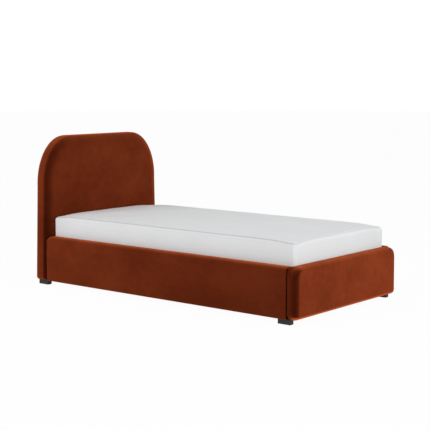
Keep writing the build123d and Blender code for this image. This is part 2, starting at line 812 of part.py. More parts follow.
for name, side in sides.items():
    with BuildPart() as upper_bracket:
        with BuildSketch(across(side, upper_plate_inner, upper_plate_outer)) as plate:
            for point in (long_top, short_top, *upper_bolt_points):
                with Locations(point):
                    Circle(tube / 2)
            make_hull()
            for point in (long_top, short_top):
                with Locations(point):
                    Circle(pivot_radius, mode=Mode.SUBTRACT)
            for point in upper_bolt_points:
                with Locations(point):
                    Circle(upper_bolt_radius, mode=Mode.SUBTRACT)
        extrude(amount=upper_plate_outer - upper_plate_inner)
    save(upper_bracket, f"upper_bracket_{name}")

    with BuildPart() as upper_pins:
        pin(side, long_top, [
            (upper_plate_inner, long_arm_outer + pivot_fit, pivot_radius),
            (long_arm_outer + pivot_fit, long_arm_outer + pivot_fit + pivot_head, pivot_head_radius),
        ])
        pin(side, short_top, [
            (upper_plate_inner, upper_plate_outer, pivot_radius),
            (upper_plate_outer, short_arm_inner - eye_play, pivot_sleeve_radius),
            (short_arm_inner - eye_play, short_arm_outer + pivot_fit, pivot_radius),
            (short_arm_outer + pivot_fit, short_arm_outer + pivot_fit + pivot_head, pivot_head_radius),
        ])
    save(upper_pins, f"upper_pins_{name}")

# Their bolts, with nuts inside the side tube, against its outer wall
with BuildPart() as upper_bracket_bolts:
    for side in sides.values():
        for y, z in upper_bolt_points:
            seat = Plane(origin=(side * upper_plate_outer, y, z), z_dir=(-side, 0, 0))
            grip = upper_plate_outer - upper_plate_inner + tube_wall + nut_thickness
            bolt(seat, upper_bolt_radius, grip, head=small_head)
            nut_seat = Plane(origin=(side * (frame_side - tube_wall), y, z), z_dir=(-side, 0, 0))
            with BuildSketch(nut_seat):
                RegularPolygon(nut_radius, 6, major_radius=False)
            extrude(amount=nut_thickness)
save(upper_bracket_bolts, "upper_bracket_bolts")

# Platform frame: two side tubes and four cross tubes, open inside, with plastic caps in the ends
frame_length = frame_head - frame_foot
cross_first = frame_foot + tube / 2
cross_pitch = (frame_length - tube) / (cross_tube_count - 1)
cross_places = [cross_first + i * cross_pitch for i in range(cross_tube_count)]
tube_level = platform_bottom + tube / 2
tube_middle_x = frame_side - tube / 2
tube_hollow = tube - 2 * tube_wall

with BuildPart() as platform_frame:
    with BuildSketch(Plane.XZ.offset(-frame_head)):
        for side in sides.values():
            with Locations((side * tube_middle_x, tube_level)):
                RectangleRounded(tube, tube, tube_radius)
    extrude(amount=frame_length)
    with BuildSketch(Plane.YZ.offset(-tube_middle_x)):
        for y in cross_places:
            with Locations((y, tube_level)):
                RectangleRounded(tube, tube, tube_radius)
    extrude(amount=2 * tube_middle_x)
    with BuildSketch(Plane.XZ.offset(-frame_head)):
        for side in sides.values():
            with Locations((side * tube_middle_x, tube_level)):
                Rectangle(tube_hollow, tube_hollow)
    extrude(amount=frame_length, mode=Mode.SUBTRACT)
    with BuildSketch(Plane.YZ.offset(-tube_middle_x)):
        for y in cross_places:
            with Locations((y, tube_level)):
                Rectangle(tube_hollow, tube_hollow)
    extrude(amount=2 * tube_middle_x, mode=Mode.SUBTRACT)
    for side in sides.values():
        with BuildSketch(across(side, frame_side - tube_wall, frame_side)):
            for point in upper_bolt_points:
                with Locations(point):
                    Circle(upper_bolt_radius)
        extrude(amount=tube_wall, mode=Mode.SUBTRACT)
    with BuildSketch(Plane.XZ.offset(-(frame_foot + tube_wall))):
        for side in sides.values():
            with Locations((side * strap_screw_x, clamp_level)):
                Circle(strap_screw_radius)
    extrude(amount=tube_wall, mode=Mode.SUBTRACT)
save(platform_frame, "platform_frame")

with BuildPart() as tube_caps:
    for side in sides.values():
        for end, y in ((1, frame_head), (-1, frame_foot)):
            mouth = Plane(origin=(side * tube_middle_x, y, tube_level), x_dir=(1, 0, 0), z_dir=(0, end, 0))
            with BuildSketch(mouth):
                RectangleRounded(tube, tube, tube_radius)
            extrude(amount=cap_flange)
            with BuildSketch(mouth):
                Rectangle(tube_hollow - 2 * cap_fit, tube_hollow - 2 * cap_fit)
            extrude(amount=-cap_plug)
save(tube_caps, "tube_caps")

# Slats, bowed upwards, with a holder on the side tube at each end
slat_start = frame_foot + slat_first
slat_pitch = (frame_length - 2 * slat_first) / (slat_count - 1)
slat_places = [slat_start + i * slat_pitch for i in range(slat_count)]
slat_half = frame_side - slat_end_inset

with BuildPart() as slats:
    low = slat_bottom
    high = slat_bottom + slat_thickness
    for y in slat_places:
        with BuildSketch(Plane.XZ.offset(-(y + slat_width / 2))):
            with BuildLine():
                ThreePointArc((-slat_half, low), (0, low + slat_rise), (slat_half, low))
                Line((slat_half, low), (slat_half, high))
                ThreePointArc((slat_half, high), (0, high + slat_rise), (-slat_half, high))
                Line((-slat_half, high), (-slat_half, low))
            make_face()
        extrude(amount=slat_width)
save(slats, "slats")

with BuildPart() as slat_holders:
    holder_top_level = mattress_bottom - soft_gap
    holder_height = holder_top_level - platform_top
    holder_width = slat_width + 2 * holder_wall
    for side in sides.values():
        with BuildSketch(across(side, frame_side - holder_reach, frame_side)) as blocks:
            for y in slat_places:
                with Locations((y, platform_top + holder_height / 2)):
                    RectangleRounded(holder_width, holder_height, holder_radius)
        extrude(amount=holder_reach)
        with BuildSketch(across(side, frame_side - holder_reach, slat_half + slat_fit)):
            for y in slat_places:
                pocket = slat_thickness + 2 * slat_fit + slat_bow
                with Locations((y, slat_bottom - slat_fit + pocket / 2)):
                    Rectangle(slat_width + 2 * slat_fit, pocket)
        extrude(amount=slat_half + slat_fit - frame_side + holder_reach, mode=Mode.SUBTRACT)
save(slat_holders, "slat_holders")

# Mattress stops: two bent plates on the head cross tube, standing behind the mattress
stop_face = mattress_head + stop_lip
stop_foot = platform_bottom + stop_rise

with BuildPart() as mattress_stops:
    for side in sides.values():
        start = side * stop_spacing / 2 - stop_width / 2
        with BuildSketch(Plane.YZ.offset(start)):
            with BuildLine():
                Polyline(
                    (frame_head, stop_foot),
                    (stop_face + stop_plate, stop_foot),
                    (stop_face + stop_plate, platform_top + stop_height),
                    (stop_face, platform_top + stop_height),
                    (stop_face, stop_foot + stop_plate),
                    (frame_head, stop_foot + stop_plate),
                    close=True,
                )
            make_face()
        extrude(amount=stop_width)
save(mattress_stops, "mattress_stops")

# Pull strap: a webbing loop clamped to the foot cross tube, hanging in the gap behind the footboard
strap_bottom = platform_bottom - strap_drop
loop_top = platform_bottom - strap_loop_drop
loop_bottom = strap_bottom + strap_thickness

with BuildPart() as pull_strap:
    with BuildSketch(Plane.YZ.offset(-strap_width / 2)) as band:
        with Locations(((strap_back + strap_front) / 2, (strap_top + strap_bottom) / 2)):
            RectangleRounded(strap_back - strap_front, strap_top - strap_bottom, strap_radius)
        with Locations(((strap_back + strap_front) / 2, (loop_top + loop_bottom) / 2)):
            RectangleRounded(strap_loop_width, loop_top - loop_bottom, strap_loop_radius, mode=Mode.SUBTRACT)
    extrude(amount=strap_width)
    with BuildSketch(Plane.XZ.offset(-strap_back)):
        for side in sides.values():
            with Locations((side * strap_screw_x, clamp_level)):
                Circle(strap_screw_radius)
    extrude(amount=strap_back - strap_front, mode=Mode.SUBTRACT)
save(pull_strap, "pull_strap")

with BuildPart() as strap_clamp:
    with BuildSketch(Plane.XZ.offset(-strap_front)):
        with Locations((0, clamp_level)):
            RectangleRounded(strap_clamp_width, strap_clamp_height, strap_radius)
        for side in sides.values():
            with Locations((side * strap_screw_x, clamp_level)):
                Circle(strap_screw_radius, mode=Mode.SUBTRACT)
    extrude(amount=strap_clamp_plate)
save(strap_clamp, "strap_clamp")

with BuildPart() as strap_screws:
    for side in sides.values():
        seat = Plane(origin=(side * strap_screw_x, clamp_face, clamp_level), z_dir=(0, 1, 0))
        bolt(seat, strap_screw_radius, frame_foot + tube_wall - clamp_face, head=strap_screw_head)
save(strap_screws, "strap_screws")

# Rests: steel angles on the rails with rubber pads, under the side tubes near the foot
for name, side in sides.items():
    with BuildPart() as rest_bracket:
        with BuildSketch(Plane.XZ.offset(-(rest_middle + rest_length / 2))):
            side_rectangle(side, rail_face - rest_plate, rail_face, rest_level - rest_flange, rest_level)
            side_rectangle(side, rest_reach, rail_face, rest_level, rest_level + rest_plate)
        extrude(amount=rest_length)
        with BuildSketch(across(side, rail_face - rest_plate, rail_face)):
            for point in rest_bolt_points:
                with Locations(point):
                    Circle(rest_bolt_radius)
        extrude(amount=rest_plate, mode=Mode.SUBTRACT)
    save(rest_bracket, f"rest_bracket_{name}")

with BuildPart() as rest_pads:
    with BuildSketch(Plane.XY.offset(rest_level + rest_plate)):
        for side in sides.values():
            with Locations((side * tube_middle_x, rest_middle)):
                RectangleRounded(tube - 2 * rest_inset, rest_length - rest_pad_trim, tube_radius)
    extrude(amount=rest_pad)
save(rest_pads, "rest_pads")

with BuildPart() as rest_bolts:
    for side in sides.values():
        for y, z in rest_bolt_points:
            seat = Plane(origin=(side * (rail_face - rest_plate), y, z), z_dir=(side, 0, 0))
            bolt(seat, rest_bolt_radius, rest_plate + screw_bite, head=small_head)
save(rest_bolts, "rest_bolts")

# Mattress
with BuildPart() as mattress:
    with BuildSketch(Plane.XY.offset(mattress_bottom)):
        with Locations((0, (mattress_foot + mattress_head) / 2)):
            RectangleRounded(mattress_width, mattress_head - mattress_foot, mattress_corner_radius)
    extrude(amount=mattress_thickness)
    fillet(mattress.faces().sort_by(Axis.Z)[-1].edges(), mattress_edge_radius)
    fillet(mattress.faces().sort_by(Axis.Z)[0].edges(), mattress_edge_radius / 2)
save(mattress, "mattress")

print("long arm base", long_base, "long arm top", long_top)
print("short arm base", short_base, "short arm top", short_top)
print("spring base", spring_base, "spring top", spring_top)
print("mattress from", mattress_foot, "to", mattress_head, "bottom", mattress_bottom)
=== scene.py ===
# %% [markdown]
# # A padded ottoman bed, dressed over its measured frame
#
# The bed is a velvet box with a tall round-shouldered headboard, a low footboard and two side
# rails. A slatted platform carries the mattress and lifts from the foot end. The steel, wood and
# plastic arrive ready-made from the measured model, and this lesson adds what cloth does: padded
# covers that roll over their edges, a mattress that swells between its seams, and a finish for
# every surface.

# %% Load the frame
import json
import math

import bpy
import numpy as np
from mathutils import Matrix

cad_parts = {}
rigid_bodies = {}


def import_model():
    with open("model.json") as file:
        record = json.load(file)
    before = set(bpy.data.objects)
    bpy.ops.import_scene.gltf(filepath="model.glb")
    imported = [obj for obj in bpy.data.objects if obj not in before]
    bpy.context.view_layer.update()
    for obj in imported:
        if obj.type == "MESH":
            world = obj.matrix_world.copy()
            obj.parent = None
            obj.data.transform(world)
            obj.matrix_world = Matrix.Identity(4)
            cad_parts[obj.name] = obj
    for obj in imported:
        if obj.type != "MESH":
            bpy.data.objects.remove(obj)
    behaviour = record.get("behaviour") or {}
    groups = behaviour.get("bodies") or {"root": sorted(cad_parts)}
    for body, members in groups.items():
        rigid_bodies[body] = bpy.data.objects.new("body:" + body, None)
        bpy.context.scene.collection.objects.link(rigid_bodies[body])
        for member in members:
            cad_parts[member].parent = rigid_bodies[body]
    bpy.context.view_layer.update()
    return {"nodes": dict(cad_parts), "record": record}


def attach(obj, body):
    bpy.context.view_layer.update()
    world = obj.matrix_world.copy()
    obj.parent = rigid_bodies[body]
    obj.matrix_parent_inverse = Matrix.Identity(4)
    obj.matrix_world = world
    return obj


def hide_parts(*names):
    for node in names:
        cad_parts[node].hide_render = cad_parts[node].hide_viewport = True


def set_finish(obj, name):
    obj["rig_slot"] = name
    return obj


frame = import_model()

# %% [markdown]
# ## Sizes
# Everything is in metres, and every size below is the measured bed's own. The covers are drawn
# again here, so their outlines, thicknesses and the hollows behind them repeat those values.

# %% Sizes of the bed
half_width = 0.530
half_length = 1.025
underside = 0.030
side_top = 0.316
head_top = 0.962
head_face = half_length - 0.090
foot_face = -half_length + 0.050
rail_face = half_width - 0.060
edge_pad = 0.024
print("bed", 2 * half_width, "m wide,", 2 * half_length, "m long and", head_top, "m high")

# %% [markdown]
# ## From arrays to meshes
# A padded cover could be a box with bevelled edges, but a bevel has one width all round, and
# padding rolls over differently at the top, the sides and the bottom. So a cover here is a stack
# of closed rings. Each ring is an outline at one depth, and the stack runs from a pole in the
# middle of one face, over the edges, to a pole in the middle of the other. With the rings in one
# array, the faces between them are index arithmetic.

# %% Ring stacks
def link_mesh(name, points, faces):
    """Object at the origin from an array of points and a list of faces, shaded smooth."""
    mesh = bpy.data.meshes.new(name)
    mesh.from_pydata(points.tolist(), [], faces)
    mesh.shade_smooth()
    piece = bpy.data.objects.new(name, mesh)
    bpy.context.scene.collection.objects.link(piece)
    return piece


def face_outwards(piece):
    """Turns the faces round when the closed mesh encloses a negative volume.

    The volume is a sixth of the sum, over triangles, of a . (b x c).
    """
    mesh = piece.data
    mesh.calc_loop_triangles()
    corners = np.empty(len(mesh.loop_triangles) * 3, dtype=np.int32)
    mesh.loop_triangles.foreach_get("vertices", corners)
    points = np.empty(len(mesh.vertices) * 3)
    mesh.vertices.foreach_get("co", points)
    a, b, c = (points.reshape(-1, 3)[corners.reshape(-1, 3)[:, i]] for i in range(3))
    if np.einsum("ij,ij->i", a, np.cross(b, c)).sum() < 0:
        mesh.flip_normals()
    return piece


def ring_quads(count, around):
    """Quads between neighbouring rings, where point j of ring i has the index i around + j."""
    i = np.arange(count - 1)[:, None] * around
    j = np.arange(around)
    k = (j + 1) % around
    return np.stack([i + j, i + k, i + around + k, i + around + j], -1).reshape(-1, 4).tolist()


def stack(name, rings):
    """Closed surface through rings of shape (ring, point, 3). The ends close on their mean points."""
    count, around = rings.shape[:2]
    points = np.vstack([rings.reshape(-1, 3), rings[0].mean(0), rings[-1].mean(0)])
    j = np.arange(around)
    k = (j + 1) % around
    last = (count - 1) * around
    first_fan = np.stack([k, j, np.full(around, count * around)], -1)
    last_fan = np.stack([last + j, last + k, np.full(around, count * around + 1)], -1)
    faces = ring_quads(count, around) + first_fan.tolist() + last_fan.tolist()
    return face_outwards(link_mesh(name, points, faces))


# %% [markdown]
# ## The outline of a padded board
# Both end boards are rectangles with rounded corners. The headboard's shoulders are quarters of
# an ellipse, taller than they are wide, so a corner here has a width and a height. When the
# outline is drawn in by an inset, both shrink by the same amount, so every ring of the stack
# runs parallel to the edge, as padding does when it is pulled over a board. A curve object could
# draw one outline, but a formula gives all of them at once, with their points in step.

# %% Rounded outlines
arc_steps = 40
side_steps = 24
least_radius = 0.006
print("points in an outline:", 4 * (arc_steps + side_steps))


def outline(half, low, high, shoulder_width, shoulder_height, low_radius):
    """Rounded rectangles, one per entry of the arrays given, as points (ring, point, 2).

    A corner is centre + (width cos a, height sin a) over a quarter turn, and straight runs are
    shared out evenly between the corners.
    """
    half, low, high, wide, tall, low_radius = (
        np.atleast_1d(v)[:, None]
        for v in np.broadcast_arrays(half, low, high, shoulder_width, shoulder_height, low_radius)
    )
    turn = np.linspace(0, math.pi / 2, arc_steps)
    corners = []
    for quarter, sign_x, edge, across, down in (
        (0, 1, high, wide, tall),
        (1, -1, high, wide, tall),
        (2, -1, low, low_radius, low_radius),
        (3, 1, low, low_radius, low_radius),
    ):
        inward = -1 if quarter < 2 else 1
        angle = turn + quarter * math.pi / 2
        x = sign_x * (half - across) + across * np.cos(angle)
        z = edge + inward * down + down * np.sin(angle)
        corners.append(np.stack([x, z], -1))
    runs = []
    share = np.linspace(0, 1, side_steps + 1, endpoint=False)[1:, None]
    for this, following in zip(corners, corners[1:] + corners[:1]):
        start, end = this[:, -1:], following[:, :1]
        runs += [this, start + share * (end - start)]
    return np.concatenate(runs, 1)


def ease(count):
    """Values from 0 to 1, crowded towards both ends: (1 - cos(pi t)) / 2."""
    return (1 - np.cos(np.linspace(0, math.pi, count))) / 2


# %% [markdown]
# ## Padded end boards
# The cover of an end board starts in the hollow behind it, where the board sits. It comes out
# over the narrow back rim, turns the back edge, crosses the flat side band and rolls over onto
# the face. The roll is a quarter of an ellipse, deeper or wider as the padding is. Underneath,
# where the cloth is pulled tight and stapled, the roll takes only a share of that height, and so
# it does where it is drawn tight over the top of the board. Cloth physics could drape the
# velvet, but a cover that is stapled tight has no cloth to spare, so its form is drawn directly.

# %% Padded boards
rear_share = 0.3
flare_top = 0.62
flare_share = 0.2
wall_rings, rim_rings, edge_rings = 5, 5, 12
band_rings, roll_rings, face_rings = 10, 28, 26
pole_share = 0.02


def padded_board(
    name, low, high, shoulder, low_radius, back, face, hollow, roll, back_roll, swell,
    top_share, low_share, flare=0.0,
):
    """Cover of an end board. shoulder is (width, height) at the back, then at the front, and
    roll is (depth, width).

    A ring is the outline at an inset, at a depth along y. From the hollow's floor the insets are
    edge_pad, then the back rim, a quarter circle, zero along the band, and the quarter ellipse
    inset = width (1 - cos a), depth = depth sin a. The face swells by swell cos(t pi / 2), where
    t runs from about 0 in the middle to about 1 at the roll.
    The insets count in full at the sides, by low_share underneath in front, by top_share at the
    top in front, and by rear_share at the top behind, where the cloth is drawn tight.
    Below the height flare_top the sides spread towards the floor by flare in all, of which
    flare_share is taken off the sides above.
    """
    towards = 1 if face > back else -1
    turn = np.linspace(0, math.pi / 2, edge_rings)
    wide = np.linspace(0, math.pi / 2, roll_rings)
    thickness = abs(face - back)
    wall = np.linspace(abs(hollow - back), 0, wall_rings)
    rim = np.linspace(edge_pad, back_roll, rim_rings)
    band = np.linspace(back_roll, thickness - roll[0], band_rings)
    inset = np.concatenate([
        np.full(wall_rings, edge_pad), rim[1:], back_roll * (1 - np.sin(turn[1:])),
        np.zeros(band_rings - 1), roll[1] * (1 - np.cos(wide[1:])),
    ])
    depth = np.concatenate([
        wall, np.zeros(rim_rings - 1), back_roll * (1 - np.cos(turn[1:])),
        band[1:], thickness - roll[0] + roll[0] * np.sin(wide[1:]),
    ])
    across_band = np.clip(depth / (thickness - roll[0]), 0, 1)
    bulge = swell * np.sin(across_band * math.pi) * (inset == 0)
    wide_shoulder, tall_shoulder = (
        np.maximum(at_back + (at_front - at_back) * across_band - inset, least_radius)
        for at_back, at_front in zip(*shoulder)
    )
    in_front = depth > thickness - roll[0]
    lift = np.where(in_front, low_share, 1) * inset
    crown = np.where(in_front, top_share, rear_share) * inset
    flat = outline(
        half_width - inset + bulge, low + lift, high - crown + bulge,
        wide_shoulder, tall_shoulder, np.maximum(low_radius - inset, least_radius),
    )
    places = back + towards * depth[:, None] + 0 * flat[..., 0]
    rings = np.stack([flat[..., 0], places, flat[..., 1]], -1)
    middle = np.array([0.0, 0.0, (low + high) / 2])
    shrink = np.linspace(pole_share, 1, face_rings, endpoint=False)[:, None, None]
    floor = middle + shrink * (rings[0] * [1, 0, 1] - middle * [1, 0, 1])
    floor[..., 1] = rings[0, 0, 1]
    front = middle + shrink[::-1] * (rings[-1] * [1, 0, 1] - middle * [1, 0, 1])
    front[..., 1] = face + towards * swell * np.cos(shrink[::-1, :, 0] * math.pi / 2)
    body = np.concatenate([floor, rings, front])
    spread = np.clip((flare_top - body[..., 2]) / flare_top, 0, 1) - flare_share
    body[..., 0] *= 1 + flare / half_width * spread
    return stack(name, body)


footboard_proud = 0.004
footboard_pillow = 0.005
headboard_pillow = 0.005
headboard_crown = 0.003
headboard_padding, footboard_padding = 0.034, 0.022
padding_sag = 0.006

headboard = padded_board(
    "headboard_velvet", low=underside, high=head_top - headboard_crown,
    shoulder=((0.235, 0.310), (0.235, 0.310)), low_radius=0.022,
    back=half_length, face=head_face - headboard_pillow, hollow=head_face + headboard_padding,
    roll=(0.034, 0.063), back_roll=0.014, swell=0.001, top_share=1.0, low_share=0.1, flare=0.016,
)
footboard = padded_board(
    "footboard_velvet", low=underside - padding_sag, high=side_top,
    shoulder=((0.016, 0.020), (0.058, 0.075)), low_radius=0.038,
    back=foot_face + footboard_proud, face=-half_length - footboard_pillow,
    hollow=-half_length + footboard_padding,
    roll=(0.045, 0.037), back_roll=0.007, swell=0.0015, top_share=0.6, low_share=0.65,
)
for board, node in ((headboard, "headboard_cover"), (footboard, "footboard_cover")):
    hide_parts(node)
    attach(board, "base")
    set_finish(board, "velvet")
    print(board.name, len(board.data.polygons), "faces")

# %% [markdown]
# ## Padded side rails
# A rail's cover folds over its board like a sleeve that is open towards the storage box. Its
# section is one closed outline with a radius of its own at every corner, carried along the bed.
# Beside the footboard the outer skin stops short and drops into a narrow groove, painted with
# shade, which is the dark line there, and at the headboard the top edge comes down in a soft
# curve. A curve with a bevel profile could carry the section, but it scales a station as a
# whole, and in the groove only the outer skin draws in.

# %% Rounded section
straight_steps = 14


def rounded_section(corners, steps):
    """Closed section through (x, z, radius, outer) corners: points, outward normals and outer flags.

    Every corner is square. At one with radius r the path leaves its edge r before the corner and
    follows the quarter circle that touches both edges. Straight runs get evenly shared points.
    """
    points = np.array([c[:2] for c in corners])
    before = points - np.roll(points, 1, 0)
    after = np.roll(points, -1, 0) - points
    before /= np.linalg.norm(before, axis=1)[:, None]
    after /= np.linalg.norm(after, axis=1)[:, None]
    runs, normals, outer = [], [], []
    for place, enter, leave, (_, _, radius, skin) in zip(points, before, after, corners):
        side = np.sign(enter[0] * leave[1] - enter[1] * leave[0])
        normal_in = side * np.array([-enter[1], enter[0]])
        normal_out = side * np.array([-leave[1], leave[0]])
        centre = place + radius * (normal_in + normal_out)
        turn = np.linspace(0, math.pi / 2, steps)[:, None]
        spoke = -(np.cos(turn) * normal_in + np.sin(turn) * normal_out)
        runs.append(centre + radius * spoke)
        normals.append(side * spoke)
        outer.append(np.full(steps, skin))
    filled = []
    share = np.linspace(0, 1, straight_steps, endpoint=False)[1:, None]
    for values in (runs, normals, [o[:, None] for o in outer]):
        path = []
        for this, following in zip(values, values[1:] + values[:1]):
            path += [this, this[-1] + share * (following[0] - this[-1])]
        filled.append(np.concatenate(path))
    return filled[0], filled[1], filled[2][:, 0]


# %% Padded rails
rail_gap = 0.0005
rail_start = foot_face + footboard_proud + rail_gap
groove_width = 0.0065
groove_depth = 0.022
low_wrap, top_pad, rail_board = 0.007, 0.028, 0.030
board_low, board_high, board_back = underside + low_wrap, side_top - top_pad, rail_face + rail_board
rail_sag = 0.0015
tuck_radius, low_edge_radius, top_edge_radius, inner_edge_radius = 0.002, 0.006, 0.024, 0.008
board_radius = 0.001
rail_corners = [
    (rail_face, underside, tuck_radius, 0),
    (half_width, underside - rail_sag, low_edge_radius, 1),
    (half_width, side_top, top_edge_radius, 1),
    (rail_face, side_top, inner_edge_radius, 1),
    (rail_face, board_high, board_radius, 0), (board_back, board_high, board_radius, 0),
    (board_back, board_low, board_radius, 0), (rail_face, board_low, board_radius, 0),
]
end_round = 0.003
head_round = (0.040, 0.020)
head_gap = 0.002
rail_swell = 0.0012
swell_low, swell_span = 0.05, 0.23
curve_low = 0.18
corner_steps, end_steps, middle_steps, head_steps = 9, 12, 60, 20
groove_stations = 3


def padded_rail(name, side):
    """Cover of one rail: the section at stations along y, drawn in near the ends.

    Within a rounding r of an end the outer skin moves in by r - sqrt(r^2 - t^2), where t is the
    way gone into the rounding, and in the groove by groove_depth. Over the last head_round the
    top comes down a quarter of an ellipse. The outer side swells by rail_swell times a sine of
    its height. The attribute named seam is 1 in the groove and 0 elsewhere.
    """
    section, normals, skin = rounded_section(rail_corners, corner_steps)
    length = head_face - head_gap - rail_start
    ends = end_round * ease(end_steps)
    middle = np.linspace(groove_width + end_round, length - head_round[0], middle_steps)[1:-1]
    curve = length - head_round[0] * ease(head_steps)[::-1]
    along = np.concatenate([groove_width + ends, middle, curve, length - ends])
    along = np.unique(along.round(6))
    near_end = np.clip(1 - np.minimum(along - groove_width, length - along) / end_round, 0, 1)
    draw_in = end_round * (1 - np.sqrt(1 - near_end**2))
    along = np.concatenate([[0, groove_width], along])
    draw_in = np.concatenate([[groove_depth, groove_depth], draw_in])
    near_head = np.clip((along - length + head_round[0]) / head_round[0], 0, 1)
    drop = head_round[1] * (1 - np.sqrt(1 - near_head**2))
    climb = np.clip((section[:, 1] - swell_low) / swell_span, 0, 1)
    swell = rail_swell * np.sin(climb * math.pi) * skin
    shape = section[None] + normals[None] * (swell[:, None] - draw_in[:, None, None] * skin[:, None])
    lift = np.clip((shape[..., 1] - curve_low) / (side_top - curve_low), 0, 1) ** 2 * skin
    places = rail_start + along[:, None] + 0 * shape[..., 0]
    rings = np.stack([side * shape[..., 0], places, shape[..., 1] - drop[:, None] * lift], -1)
    count, around = rings.shape[:2]
    caps = [list(range(around))[::-1], list(range((count - 1) * around, count * around))]
    cover = face_outwards(link_mesh(name, rings.reshape(-1, 3), ring_quads(count, around) + caps))
    # The groove's stations carry the velvet's painted shade.
    groove_shade = np.repeat((np.arange(count) < groove_stations).astype(float), around)
    cover.data.attributes.new("seam", "FLOAT", "POINT").data.foreach_set("value", groove_shade)
    return cover


for word, side in (("left", -1), ("right", 1)):
    rail = padded_rail(f"rail_velvet_{word}", side)
    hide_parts(f"rail_cover_{word}")
    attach(rail, "base")
    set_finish(rail, "velvet")
    print(rail.name, len(rail.data.polygons), "faces")

# %% [markdown]
# ## The mattress
# A mattress is a box of panels sewn together along its edges. A cube with a bevel would have the
# roundness but no room for the seam. So a grid wraps round the whole box instead, with its cells
# crowded towards the edges. The corners are rounded by drawing each square ring of grid points
# in to the circle inside it, and the seam is pressed in along the top edge.

# %% Mattress sizes
mattress_low = 0.2413
mattress_high = 0.4490
mattress_half = np.array([0.464, 0.950])
mattress_middle = -0.021
corner_round = 0.016
side_edge, end_edge = 0.016, 0.026
seam_place = 0.49
seam_depth = 0.0035
seam_width = 0.0024
shade_width = 0.0042
end_seam_share = 0.35
border_sag = 0.001
corner_droop = 0.011
droop_reach = 0.11
sag_reach = 0.012
seam_from = 0.88
press_across, press_down = 0.5, 0.85
edge_zone = 0.032
edge_cells, across_cells, along_cells = 22, 44, 90
roll_cells, border_cells = 14, 9
tiny = 1e-9


# %% Box grid
def crowded(half, zone, fine, coarse):
    """Places from -half to half, fine steps within zone of each end and coarse ones between."""
    edge = np.linspace(half - zone, half, fine + 1)
    middle = np.linspace(-(half - zone), half - zone, coarse + 1)
    return np.concatenate([-edge[::-1], middle[1:-1], edge])


def box_grid(xs, ys, zs):
    """Points and quads of the skin of a box with the given grid lines, shared along its edges."""
    nx, ny, nz = len(xs), len(ys), len(zs)
    index = np.full((nx, ny, nz), -1)
    i, j, k = np.meshgrid(np.arange(nx), np.arange(ny), np.arange(nz), indexing="ij")
    skin = (i % (nx - 1) == 0) | (j % (ny - 1) == 0) | (k % (nz - 1) == 0)
    index[skin] = np.arange(skin.sum())
    points = np.stack([xs[i[skin]], ys[j[skin]], zs[k[skin]]], -1)
    quads = []
    for axis, last in ((0, nx - 1), (1, ny - 1), (2, nz - 1)):
        for place in (0, last):
            face = np.take(index, place, axis)
            cell = np.stack([face[:-1, :-1], face[1:, :-1], face[1:, 1:], face[:-1, 1:]], -1)
            turned = (place == 0) != (axis == 1)
            quads.append(cell.reshape(-1, 4)[:, ::-1 if turned else 1])
    return points, np.concatenate(quads)


# %% Mattress
def rounded_plan(points):
    """The points in plan, with the box's corners rounded.

    A point in a corner square keeps its ring: its offset from the corner's centre is scaled by
    (largest of |dx|, |dy|) / length. With the points come their distances from the sides and
    ends, their inset from the outline and their outward directions.
    """
    flat = points[:, :2] - [0, mattress_middle]
    core = np.clip(flat, -(mattress_half - corner_round), mattress_half - corner_round)
    offset = flat - core
    reach = np.abs(offset).max(1)
    length = np.linalg.norm(offset, axis=1)
    flat = core + offset * np.where(length > 0, reach / np.maximum(length, tiny), 1)[:, None]
    offset = flat - core
    inside = mattress_half - np.abs(flat)
    in_corner = (np.abs(offset) > tiny).all(1)
    nearest = np.where(inside[:, 0] < inside[:, 1], 0, 1)
    inset = np.where(in_corner, corner_round - np.linalg.norm(offset, axis=1), inside.min(1))
    outward = np.eye(2)[nearest] * np.sign(flat)
    unit = offset / np.maximum(np.linalg.norm(offset, axis=1), tiny)[:, None]
    return flat, inside, inset, np.where(in_corner[:, None], unit, outward)


def mattress_shape(points):
    """Rolls the edges of the box grid, presses in the seam and droops the corners.

    Near the top and bottom edges a point goes onto a quarter circle, side_edge wide along the
    sides and end_edge wide along the ends. The seam is a groove part way round the top edge,
    pressed in and down by seam_depth exp(-(distance / seam_width)^2), fainter at the ends, and
    the edge lies border_sag lower than the panel inside. The corners of the top droop by
    corner_droop exp(-(distance / droop_reach)^2). The second result is the seam's shade, from
    0 to 1, which fades over shade_width beside it.
    """
    flat, inside, inset, outward = rounded_plan(points)
    at_end = outward[:, 1] ** 2
    edge_round = side_edge + (end_edge - side_edge) * at_end
    height = (points[:, 2] - mattress_low) / (mattress_high - mattress_low)
    upper = height > 0.5
    drop = np.where(upper, mattress_high - points[:, 2], points[:, 2] - mattress_low)
    angle = (1 + inset / edge_round - drop / edge_round).clip(0, 2) * math.pi / 4
    rolled = (inset < edge_round) & (drop < edge_round)
    new_inset = np.where(rolled, edge_round * (1 - np.cos(angle)), inset)
    new_drop = np.where(rolled, edge_round * (1 - np.sin(angle)), drop)
    flat = flat + outward * (inset - new_inset)[:, None]
    seam_inset = seam_place * edge_round
    from_seam = new_inset - seam_inset
    rise = np.clip(from_seam / sag_reach, 0, 1)
    droop = corner_droop * np.exp(-(inside**2).sum(1) / droop_reach**2)
    sag = border_sag * (1 - rise * rise * (3 - 2 * rise)) + droop
    strength = (height > seam_from) * (1 + (end_seam_share - 1) * at_end)
    groove = strength * np.exp(-((from_seam / seam_width) ** 2))
    shade = strength * np.exp(-((from_seam / shade_width) ** 2))
    flat -= outward * (press_across * seam_depth * groove)[:, None]
    top = mattress_high - new_drop - sag * np.clip(2 * height - 1, 0, 1)
    top -= press_down * seam_depth * groove
    z = np.where(upper, top, mattress_low + new_drop)
    return np.stack([flat[:, 0], flat[:, 1] + mattress_middle, z], -1), shade


